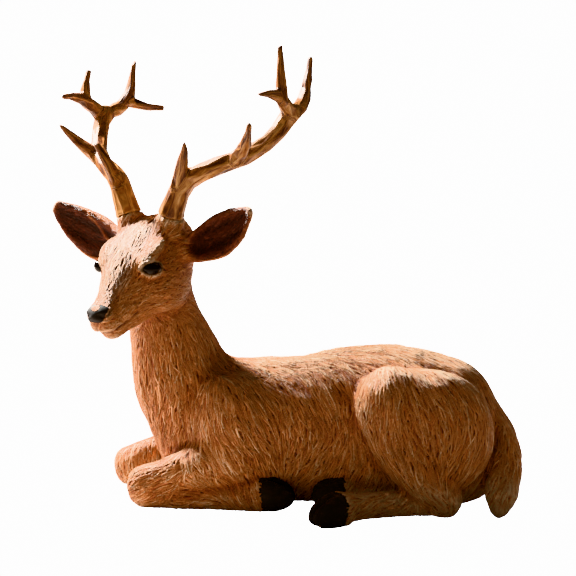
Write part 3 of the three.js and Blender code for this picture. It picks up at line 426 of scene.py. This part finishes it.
# The coat.
bare = np.clip(np.maximum.reduce([hoof, nose, lid * 0.7, dark * 0.7]), 0, 1)
ear_all = smooth(np.abs(h[:, 1]), 8.6, 10.2) * smooth(h[:, 2], -8, -5)
ear_all = ear_all * smooth(h[:, 0], -14, -9) * smooth(h[:, 0], 6, 2)
face = np.clip(smooth(np.linalg.norm(h - np.array([8, 0, -3]), axis=1), 15, 11), 0, 1)
muzzle = smooth(h[:, 0], 11, 16) * face
leg = smooth(pose[:, 2], 9.5, 5.5) * (1 - face)
throat = smooth(pose[:, 0], -12, -18) * smooth(pose[:, 2], 12, 18) * (1 - face)
# The forehead and bridge, where the light falls: the strokes there are larger, and the coat there gets a
# painted highlight.
face_highlight = smooth(h[:, 2] - 0.18 * (6 - h[:, 0]), 1.2, 4.2)
face_highlight = face_highlight * smooth(np.abs(h[:, 1]), 6.5, 4) * smooth(h[:, 0], -6, 2)
brow = face_highlight * smooth(h[:, 0], 16, 12)
# Up-facing surfaces of the back get a painted highlight, where the light from above falls.
top = smooth(n[:, 2], 0.55, 0.95) * smooth(pose[:, 2], 22, 26) * smooth(pose[:, 0], -12, -4) * (1 - face)
width = 0.0021 + 0.0004 * throat - 0.0005 * face - 0.0002 * leg - 0.0002 * ear_all + 0.0007 * brow
length = 0.0185 - 0.0075 * face - 0.0020 * muzzle - 0.0015 * leg - 0.002 * ear_all + 0.0060 * brow
width = np.where(bare > 0.5, 0, width)
lie = lie_at(p, n)
lie = unit(spread(lie, edges, count, 0.5, 2))
height, strand, run, own = stroke(p, n, lie, width, length, 1.2, 11, 0.0105)
blank = height <= 0
filled = height.copy()
for _ in range(4):
    filled = np.where(blank, spread(filled, edges, count, 0.9, 1), height)
height = np.where(bare > 0.5, 0.62, filled)
rim = np.where(blank, 0.62, strand**2)
relief = 0.00115 - 0.00035 * face + 0.00060 * brow - 0.0002 * leg - 0.0008 * ear_all
relief = relief * (1 - bare)
shift += relief * (height - 0.62)
p = p + n * shift[:, None]
low, high = np.array(CAD_BOX[0]), np.array(CAD_BOX[1])
p = np.clip(p, low, high)
put(mesh, p)
n = normals_of(mesh)
wide = spread(p, edges, count, 0.5, 10)
wider = spread(wide, edges, count, 0.5, 60)
marks = {
    "rim": rim, "height": height, "strand": strand, "hoof": hoof, "nose": nose,
    "ear_in": ear_in, "dark": dark, "lid": lid, "ear": ear_all,
    # Painted highlight on the forehead and bridge, kept off the shaded near side of the face.
    "face_highlight": face_highlight * smooth(h[:, 1], 4.6, 2.4),
    # Painted highlight on the back, and painted light on the hind shins, which stand in shade.
    "top": top + 0.8 * leg * smooth(pose[:, 0], 8, 14),
    "own": own, "grain": np.stack([strand * width * 180, run * length * 15, own * 60], 1),
    # Painted shade in small hollows and painted light on small bumps.
    "cavity_shading": np.clip(((wide - p) * n).sum(1) / 0.00025, -2, 2),
    # Painted shade in broad hollows such as the creases between limbs, lighter on broad swells.
    "hollow": np.clip(((wider - wide) * n).sum(1) / 0.0008, -2, 2),
}
triangles = sum(len(f.vertices) - 2 for f in mesh.polygons)
fine = body
thinning = ("DECIMATE", {"ratio": min(1.0, TRIANGLES / triangles)})
body = evaluated(fine, "body_casting", thinning, ("TRIANGULATE", {}))
bpy.data.objects.remove(fine)
tree = KDTree(count)
for i, place in enumerate(p.tolist()):
    tree.insert(place, i)
tree.balance()
places = np.clip(points_of(body.data), low, high)
nearest = np.array([tree.find(place)[1] for place in places.tolist()])
marks = {name: values[nearest] for name, values in marks.items()}
normals = normals_of(body.data)
faces = np.array([f.vertices[:] for f in body.data.polygons])
middles = (places[faces].mean(1) - SHIFT) / UNIT


# The casting is built as four meshes, so that each stays small. They share their edges and their shading.
def portion(name, chosen):
    own_faces = faces[chosen]
    used = np.unique(own_faces)
    place = np.full(len(places), -1)
    place[used] = np.arange(len(used))
    own_faces = place[own_faces]
    points = places[used]
    values = {key: v[used] for key, v in marks.items()}
    turned = normals[used][own_faces]
    # Each open edge is closed by a fan to the middle of its loop, inside the casting.
    sides = {(a, b) for f in own_faces.tolist() for a, b in zip(f, f[1:] + f[:1])}
    following = {b: a for a, b in sides if (b, a) not in sides}
    caps = []
    while following:
        start, end = following.popitem()
        loop = [start, end]
        while loop[-1] in following:
            loop.append(following.pop(loop[-1]))
        loop = loop[:-1] if loop[-1] == loop[0] else loop
        hub = len(points)
        points = np.vstack([points, points[loop].mean(0)])
        for key, v in values.items():
            values[key] = np.concatenate([v, v[loop].mean(0, keepdims=True)])
        caps += [(a, b, hub) for a, b in zip(loop, loop[1:] + loop[:1])]
    if caps:
        caps = np.array(caps)
        a, b, c = points[caps[:, 0]], points[caps[:, 1]], points[caps[:, 2]]
        flat = unit(np.cross(b - a, c - a))
        own_faces = np.vstack([own_faces, caps])
        turned = np.concatenate([turned, np.repeat(flat[:, None], 3, 1)])
    mesh = bpy.data.meshes.new(name)
    mesh.from_pydata(points.tolist(), [], own_faces.tolist())
    mesh.shade_smooth()
    mesh.normals_split_custom_set(turned.reshape(-1, 3).tolist())
    for key, v in values.items():
        keep(mesh, key, v)
    obj = bpy.data.objects.new(name, mesh)
    bpy.context.scene.collection.objects.link(obj)
    print(name, len(own_faces), "triangles,", len(caps), "in caps")
    return obj


is_head = (middles[:, 2] > 37.5) & (middles[:, 0] < -5)
along = middles[:, 0]
BODY = [
    portion("casting_head", is_head),
    portion("casting_fore", ~is_head & (along < -6)),
    portion("casting_middle", ~is_head & (along >= -6) & (along < 19)),
    portion("casting_rear", ~is_head & (along >= 19)),
]
bpy.data.objects.remove(body)


# Antlers: smooth copies with long grooves that run along the beam and the tines.
TIP = 1.5 / 3.1612
ANTLER_FINE = 0.0006
BEAM = [
    (-3.2, 5, 5.4, 3), (-5.2, 6.4, 9.2, 2.5), (-8.4, 9.1, 13, 2.1), (-12, 14.8, 14.4, 1.9),
    (-16.4, 20, 14.5, 1.8), (-21.8, 23.6, 15.6, 1.7), (-27.2, 25.4, 18, 1.8),
]


def tines(side):
    rise = 2.2 if side > 0 else -2.2
    inset = 3 if side > 0 else 0
    return [
        [(-6.6, 7.6, 11.6, 1.7), (-8, 9.6, 16.4, 1.3), (-8.9, 11.4, 20.2, 0.8), (-9.2, 12, 21.6, TIP)],
        [(-14.4, 18.6, 14.8, 1.6), (-14.6, 21.8, 17.6, 1.3), (-14.4, 24.4, 21, 0.8), (-14.3, 25.4, 22.9, TIP)],
        [(-26.8, 25.4, 17.6, 1.7), (-25.2, 26.2, 21.4, 1.4), (-23.2, 26.6, 24.4, 1.1), (-19, 26.4, 27, TIP)],
        [(-24.6, 26.6, 22.4, 1.3), (-26.6, 26.9, 26.2 + rise * 0.4, 1), (-29.4, 26.8, 29.8 + rise, TIP)],
        [(-27, 25.4, 17.8, 1.7), (-31.4, 24.8, 17, 1.4), (-35, 24.1, 18.2, 1.2), (-40.2, 24, 23.4, TIP)],
        [(-33.6, 24.2, 17.4, 1.2), (-36.8, 22 - inset * 0.4, 14, 0.9), (-39.4, 20 - inset, 12.2, TIP)],
    ]


def antler(node, side):
    source = welded(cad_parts[node])
    obj = evaluated(
        source, node + "_cast",
        ("SUBSURF", {"levels": 1, "render_levels": 1, "subdivision_type": "SIMPLE"}),
        ("REMESH", {"mode": "VOXEL", "voxel_size": ANTLER_FINE, "adaptivity": 0.0}),
    )
    mesh = obj.data
    edges, p = edges_of(mesh), points_of(mesh)
    count = len(p)
    # The tips are left sharp.
    ends = np.array([in_head((f, side * l, u)) for f, l, u, _ in (tine[-1] for tine in tines(side))])
    clear = np.linalg.norm(p[:, None] - ends, axis=2).min(1)
    ease = np.interp(clear, [0.003, 0.012], [0.06, 0.56])
    for _ in range(44):
        p = spread(p, edges, count, ease, 1)
        p = spread(p, edges, count, -ease * 1.03, 1)
    put(mesh, p)
    p = refilled(p, normals_of(mesh), source, edges, count, 30)
    p = p + normals_of(mesh) * 0.0004 * smooth(clear, 0.008, 0.001)[:, None]
    bpy.data.objects.remove(source)
    put(mesh, p)
    n = normals_of(mesh)
    best = np.full(count, 9.0)
    grain = np.zeros((count, 3))
    toward_tip = np.zeros(count)
    for k, stations in enumerate([BEAM] + tines(side)):
        path = np.array([in_head((f, side * l, u)) for f, l, u, _ in stations])
        radii = np.array([s[3] for s in stations]) * UNIT
        lengths = np.linalg.norm(np.diff(path, axis=0), axis=1)
        total = lengths.sum()
        tangents = unit(np.gradient(path, axis=0))
        firsts = unit(np.cross(tangents, HEAD_L * side))
        done = 0.0
        for i, length in enumerate(lengths):
            a, b, ra, rb = path[i], path[i + 1], radii[i], radii[i + 1]
            t = np.clip((p - a) @ (b - a) / length**2, 0, 1)
            away = p - a - t[:, None] * (b - a)
            distance = np.linalg.norm(away, axis=1) / (ra + (rb - ra) * t)
            nearer = distance < best
            best = np.where(nearer, distance, best)
            axis = unit(tangents[i] * (1 - t[:, None]) + tangents[i + 1] * t[:, None])
            first = unit(firsts[i] * (1 - t[:, None]) + firsts[i + 1] * t[:, None])
            second = np.cross(axis, first)
            own = np.stack([(n * first).sum(1), (n * second).sum(1), (done + t * length) / 0.03], 1)
            grain[nearer] = own[nearer]
            grain[nearer, 2] += k * 3.7
            toward_tip[nearer] = ((done + t * length) / total)[nearer] if k else 0
            done += length
    grain = spread(grain, edges, count, 0.5, 10)
    angle = np.arctan2(grain[:, 1], grain[:, 0])
    sway = 0.8 * waves(p, 0.03, 3, 1)
    ribs = np.sin(angle * 7 + sway * 2 + grain[:, 2] * 2)
    ribs = ribs + 0.6 * np.sin(angle * 12 - sway * 3 + grain[:, 2] * 5)
    fade = smooth(toward_tip, 1.0, 0.75)
    p = p + n * (0.00010 * ribs * fade - 0.00005)[:, None]
    p = np.clip(p, CAD_BOX[0], CAD_BOX[1])
    put(mesh, p)
    keep(mesh, "grain", np.stack([grain[:, 0], grain[:, 1], grain[:, 2] * 0.55], 1))
    keep(mesh, "tip", toward_tip)
    n = normals_of(mesh)
    wide = spread(p, edges, count, 0.5, 12)
    # Painted shade in the antler's hollows and painted light on its bumps.
    keep(mesh, "cavity_shading", np.clip(((wide - p) * n).sum(1) / 0.0002, -2, 2))
    triangles = sum(len(f.vertices) - 2 for f in mesh.polygons)
    print(node, count, triangles)
    mesh.shade_smooth()
    return obj


antlers = {node: antler(node, side) for node, side in (("antler_left", 1), ("antler_right", -1))}


# Eyes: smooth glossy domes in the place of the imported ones.
def eye(node, side):
    bpy.ops.mesh.primitive_uv_sphere_add(segments=64, ring_count=40, radius=1)
    obj = bpy.context.object
    obj.name = obj.data.name = node + "_bead"
    facing = unit(np.array((EYE_FACING[0], side * EYE_FACING[1], EYE_FACING[2])) @ HEAD_B)
    level = unit(np.cross((0, 0, 1), facing))
    basis = np.stack([level * EYE_LONG, np.cross(facing, level) * EYE_TALL, facing * EYE_DEEP])
    put(obj.data, points_of(obj.data) @ basis * 0.995 + in_head((EYE_AT[0], side * EYE_AT[1], EYE_AT[2])))
    obj.data.shade_smooth()
    return obj


eyes = {node: eye(node, side) for node, side in (("eye_left", 1), ("eye_right", -1))}


# Materials.
class Paint:
    """A material's nodes: each call adds one and wires or sets its inputs."""

    def __init__(self, name):
        self.material = bpy.data.materials.new(name)
        self.material.use_nodes = True
        self.tree = self.material.node_tree
        self.tree.nodes.clear()

    def add(self, kind, settings=None, **inputs):
        node = self.tree.nodes.new("ShaderNode" + kind)
        for key, value in (settings or {}).items():
            setattr(node, key, value)
        for key, value in inputs.items():
            socket = node.inputs[int(key[1:])] if key[0] == "_" else node.inputs[key.replace("_", " ")]
            if isinstance(value, bpy.types.NodeSocket):
                self.tree.links.new(value, socket)
            else:
                socket.default_value = value
        return node

    def value(self, name):
        return self.add("Attribute", {"attribute_name": name}).outputs["Fac"]

    def vector(self, name):
        return self.add("Attribute", {"attribute_name": name}).outputs["Vector"]

    def math(self, operation, a, b=0.0, c=0.0, clamp=False):
        settings = {"operation": operation, "use_clamp": clamp}
        return self.add("Math", settings, _0=a, _1=b, _2=c).outputs[0]

    def noise(self, size, vector=None, detail=3.0, rough=0.55):
        vector = vector or self.add("TexCoord").outputs["Object"]
        return self.add("TexNoise", Vector=vector, Scale=size, Detail=detail, Roughness=rough).outputs["Fac"]

    def ramp(self, factor, *stops):
        node = self.add("ValToRGB", Fac=factor)
        band = node.color_ramp
        while len(band.elements) < len(stops):
            band.elements.new(0.5)
        for element, (place, colour) in zip(band.elements, stops):
            element.position = place
            element.color = (*colour, 1)
        return node.outputs["Color"]

    def mix(self, factor, a, b, blend="MIX"):
        node = self.add("Mix", {"data_type": "RGBA", "blend_type": blend}, _0=factor, _6=a, _7=b)
        return node.outputs[2]

    def step(self, value, low, high):
        node = self.add("MapRange", {"interpolation_type": "SMOOTHSTEP"}, _0=value, _1=low, _2=high)
        return node.outputs[0]

    def bump(self, height, distance, strength=1.0, normal=None):
        inputs = {"Height": height, "Distance": distance, "Strength": strength}
        if normal:
            inputs["Normal"] = normal
        return self.add("Bump", **inputs).outputs[0]

    def finish(self, **inputs):
        shader = self.add("BsdfPrincipled", **inputs)
        self.add("OutputMaterial", Surface=shader.outputs[0])
        return self.material


def fur_paint():
    k = Paint("painted_coat")
    cavity_shading, hollow, rim = k.value("cavity_shading"), k.value("hollow"), k.value("rim")
    own, grain = k.value("own"), k.vector("grain")
    hairs = k.noise(3.0, grain, 3.0, 0.6)
    fibres = k.noise(9.0, grain, 2.0, 0.5)
    speck = k.noise(900.0, detail=2.0)
    blotch = k.noise(30.0, detail=3.0)
    # Fine cuts run the length of each lock: ridges are dry-brushed pale, grooves keep the dark wash.
    comb = k.math("MULTIPLY_ADD", k.value("strand"), 5.2, k.math("MULTIPLY", own, 37.0))
    comb = k.math("SINE", k.math("MULTIPLY_ADD", k.math("SUBTRACT", hairs, 0.5), 5.0, comb))
    cuts = k.step(comb, -0.9, 0.1)
    groove = k.step(rim, 0.36, 0.95)
    tone = k.math("MULTIPLY_ADD", groove, -0.34, 0.52)
    # Painted highlight on the up-facing back and painted light on the hind shins.
    tone = k.math("MULTIPLY_ADD", k.value("top"), 0.20, tone)
    # Within the painted highlight, the grooves and the gaps between cuts get painted shadow.
    tone = k.math("MULTIPLY_ADD", k.math("MULTIPLY", groove, k.value("face_highlight")), -0.25, tone)
    highlight_cut_shadow = k.math("MULTIPLY", k.math("SUBTRACT", cuts, 1.0), k.value("face_highlight"))
    tone = k.math("MULTIPLY_ADD", highlight_cut_shadow, 0.34, tone)
    tone = k.math("MULTIPLY_ADD", k.math("SUBTRACT", k.value("height"), 0.55), 0.22, tone)
    tone = k.math("MULTIPLY_ADD", cuts, 0.15, tone)
    # Painted shade in small hollows, painted light on small bumps.
    tone = k.math("MULTIPLY_ADD", cavity_shading, -0.16, tone)
    # Painted shade in broad hollows such as the creases between limbs, lighter on broad swells.
    tone = k.math("MULTIPLY_ADD", hollow, -0.24, tone)
    tone = k.math("MULTIPLY_ADD", k.math("SUBTRACT", hairs, 0.5), 0.70, tone)
    tone = k.math("MULTIPLY_ADD", k.math("SUBTRACT", fibres, 0.5), 0.35, tone)
    tone = k.math("MULTIPLY_ADD", k.value("ear"), -0.30, tone)
    tone = k.math("MULTIPLY_ADD", k.math("SUBTRACT", own, 0.5), 0.16, tone)
    tone = k.math("MULTIPLY_ADD", k.math("SUBTRACT", blotch, 0.5), 0.30, tone, clamp=True)
    coat = k.ramp(
        tone,
        (0.0, (0.050, 0.007, 0.001)), (0.25, (0.170, 0.030, 0.006)), (0.5, (0.390, 0.112, 0.034)),
        (0.75, (0.620, 0.265, 0.105)), (1.0, (0.860, 0.620, 0.420)),
    )
    # The pale coat is the painted highlight on the lit forehead and bridge; it is mixed in below.
    pale = k.ramp(
        tone,
        (0.0, (0.035, 0.008, 0.002)), (0.25, (0.120, 0.036, 0.012)), (0.45, (0.420, 0.200, 0.095)),
        (0.65, (0.780, 0.560, 0.400)), (0.9, (0.950, 0.860, 0.760)),
    )
    coat = k.mix(k.math("MULTIPLY", k.value("face_highlight"), 0.5), coat, pale)
    inner = k.ramp(
        k.math("MULTIPLY_ADD", tone, 0.8, k.math("MULTIPLY_ADD", blotch, 0.4, -0.2)),
        (0.0, (0.016, 0.002, 0.001)), (0.45, (0.110, 0.018, 0.005)), (1.0, (0.360, 0.110, 0.036)),
    )
    colour = k.mix(k.value("ear_in"), coat, inner)
    colour = k.mix(k.math("MULTIPLY", k.value("lid"), 0.6), colour, (0.150, 0.052, 0.018, 1))
    colour = k.mix(k.math("MULTIPLY", k.value("dark"), 0.9), colour, (0.012, 0.004, 0.002, 1))
    black = k.math("MAXIMUM", k.step(k.value("hoof"), 0.35, 0.65), k.step(k.value("nose"), 0.35, 0.65))
    horn = k.ramp(k.noise(260.0), (0.3, (0.0030, 0.0022, 0.0020)), (0.8, (0.0120, 0.0080, 0.0065)))
    colour = k.mix(black, colour, horn)
    rough = k.math("MULTIPLY_ADD", tone, -0.14, 0.56)
    rough = k.math("MULTIPLY_ADD", black, 0.26, rough)
    relief = k.math("MULTIPLY_ADD", fibres, 0.5, k.math("ADD", hairs, cuts))
    relief = k.math("MULTIPLY_ADD", groove, -1.2, relief)
    relief = k.math("MULTIPLY", relief, k.math("SUBTRACT", 1.0, black))
    bump = k.bump(relief, 0.00040, 1.0)
    bump = k.bump(speck, 0.00010, 0.4, bump)
    return k.finish(Base_Color=colour, Roughness=rough, Normal=bump, Specular_IOR_Level=0.4)


def horn_paint():
    k = Paint("painted_antler")
    grain = k.vector("grain")
    patch = k.noise(1.5, grain, 3.0, 0.5)
    long = k.noise(4.0, grain, 4.0, 0.6)
    fine = k.noise(12.0, grain, 3.0, 0.6)
    # Painted shade in the antler's hollows, painted light on its bumps.
    tone = k.math("MULTIPLY_ADD", k.value("cavity_shading"), -0.10, 0.52)
    tone = k.math("MULTIPLY_ADD", k.math("SUBTRACT", patch, 0.5), 1.3, tone)
    tone = k.math("MULTIPLY_ADD", k.math("SUBTRACT", long, 0.5), 1.5, tone)
    tone = k.math("MULTIPLY_ADD", k.math("SUBTRACT", fine, 0.5), 0.6, tone)
    tone = k.math("MULTIPLY_ADD", k.value("tip"), -0.30, tone, clamp=True)
    colour = k.ramp(
        tone,
        (0.0, (0.020, 0.005, 0.002)), (0.3, (0.105, 0.030, 0.008)), (0.5, (0.270, 0.100, 0.028)),
        (0.72, (0.480, 0.240, 0.085)), (1.0, (0.660, 0.400, 0.180)),
    )
    rough = k.math("MULTIPLY_ADD", tone, -0.10, 0.46)
    bump = k.bump(long, 0.0003, 0.6)
    bump = k.bump(fine, 0.0002, 0.6, bump)
    return k.finish(Base_Color=colour, Roughness=rough, Normal=bump, Specular_IOR_Level=0.45)


def eye_paint():
    k = Paint("gloss_black_eye")
    colour = k.ramp(k.noise(160.0), (0.3, (0.0015, 0.0012, 0.0012)), (0.8, (0.0060, 0.0035, 0.0030)))
    return k.finish(Base_Color=colour, Roughness=0.05, Specular_IOR_Level=0.22)


def dress(obj, paint, node):
    obj.data.materials.clear()
    obj.data.materials.append(paint)
    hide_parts(node)
    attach(obj, "root")


coat, horn, gloss = fur_paint(), horn_paint(), eye_paint()
for obj in BODY:
    dress(obj, coat, "deer_body")
for node, obj in antlers.items():
    dress(obj, horn, node)
for node, obj in eyes.items():
    dress(obj, gloss, node)


# Floor, light and camera.
PAPER_WHITE = 5.0
ROOM_LIGHT = 0.170
bpy.ops.mesh.primitive_plane_add(size=12)
floor = bpy.context.object
floor.name = "studio_floor"
floor.location = (0, 0, CAD_BOX[0][2] - 0.0002)
# Pure white paper: what the camera sees of it is lit evenly, what it throws on the figurine is soft.
k = Paint("studio_paper")
seen = k.add("LightPath").outputs["Is Camera Ray"]
paper = k.add("BsdfDiffuse", Color=(0.62, 0.53, 0.48, 1))
glow = k.add("Emission", Color=(1, 1, 1, 1), Strength=PAPER_WHITE)
mixed = k.add("MixShader", _0=seen, _1=paper.outputs[0], _2=glow.outputs[0])
k.add("OutputMaterial", Surface=mixed.outputs[0])
floor.data.materials.append(k.material)
floor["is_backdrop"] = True

world = bpy.data.worlds.new("studio")
bpy.context.scene.world = world
world.use_nodes = True
tree = world.node_tree
tree.nodes.clear()
path = tree.nodes.new("ShaderNodeLightPath")
room = tree.nodes.new("ShaderNodeBackground")
room.inputs["Color"].default_value = (1.0, 0.87, 0.77, 1)
room.inputs["Strength"].default_value = ROOM_LIGHT
wall = tree.nodes.new("ShaderNodeBackground")
wall.inputs["Color"].default_value = (1, 1, 1, 1)
wall.inputs["Strength"].default_value = PAPER_WHITE
either = tree.nodes.new("ShaderNodeMixShader")
output = tree.nodes.new("ShaderNodeOutputWorld")
tree.links.new(path.outputs["Is Camera Ray"], either.inputs[0])
tree.links.new(room.outputs[0], either.inputs[1])
tree.links.new(wall.outputs[0], either.inputs[2])
tree.links.new(either.outputs[0], output.inputs[0])


def lamp(name, towards, distance, size, power, colour):
    data = bpy.data.lights.new(name, "AREA")
    data.size = size
    data.energy = power
    data.color = colour
    obj = bpy.data.objects.new(name, data)
    bpy.context.scene.collection.objects.link(obj)
    middle = Vector(posed((0, 0, 30)))
    obj.location = middle + Vector(towards).normalized() * distance
    obj.rotation_euler = (middle - obj.location).to_track_quat("-Z", "Y").to_euler()


lamp("key", (-0.66, 0.36, 0.66), 1.0, 0.12, 72, (1.0, 0.96, 0.90))

VIEW_AZIMUTH, VIEW_RISE, VIEW_DISTANCE, LENS = 8.0, 9.0, 466.7 * UNIT, 141.75
camera = bpy.data.objects.new("camera", bpy.data.cameras.new("camera"))
bpy.context.scene.collection.objects.link(camera)
target = Vector(posed((0, 0, 44.3)))
a, e = math.radians(VIEW_AZIMUTH), math.radians(VIEW_RISE)
outward = Vector((math.sin(a) * math.cos(e), -math.cos(a) * math.cos(e), math.sin(e)))
camera.location = target + VIEW_DISTANCE * outward
camera.rotation_euler = (target - camera.location).to_track_quat("-Z", "Y").to_euler()
camera.data.lens = LENS
camera.data.sensor_width = 36
bpy.context.scene.camera = camera
bpy.context.scene.view_settings.view_transform = "Khronos PBR Neutral"

low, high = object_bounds()
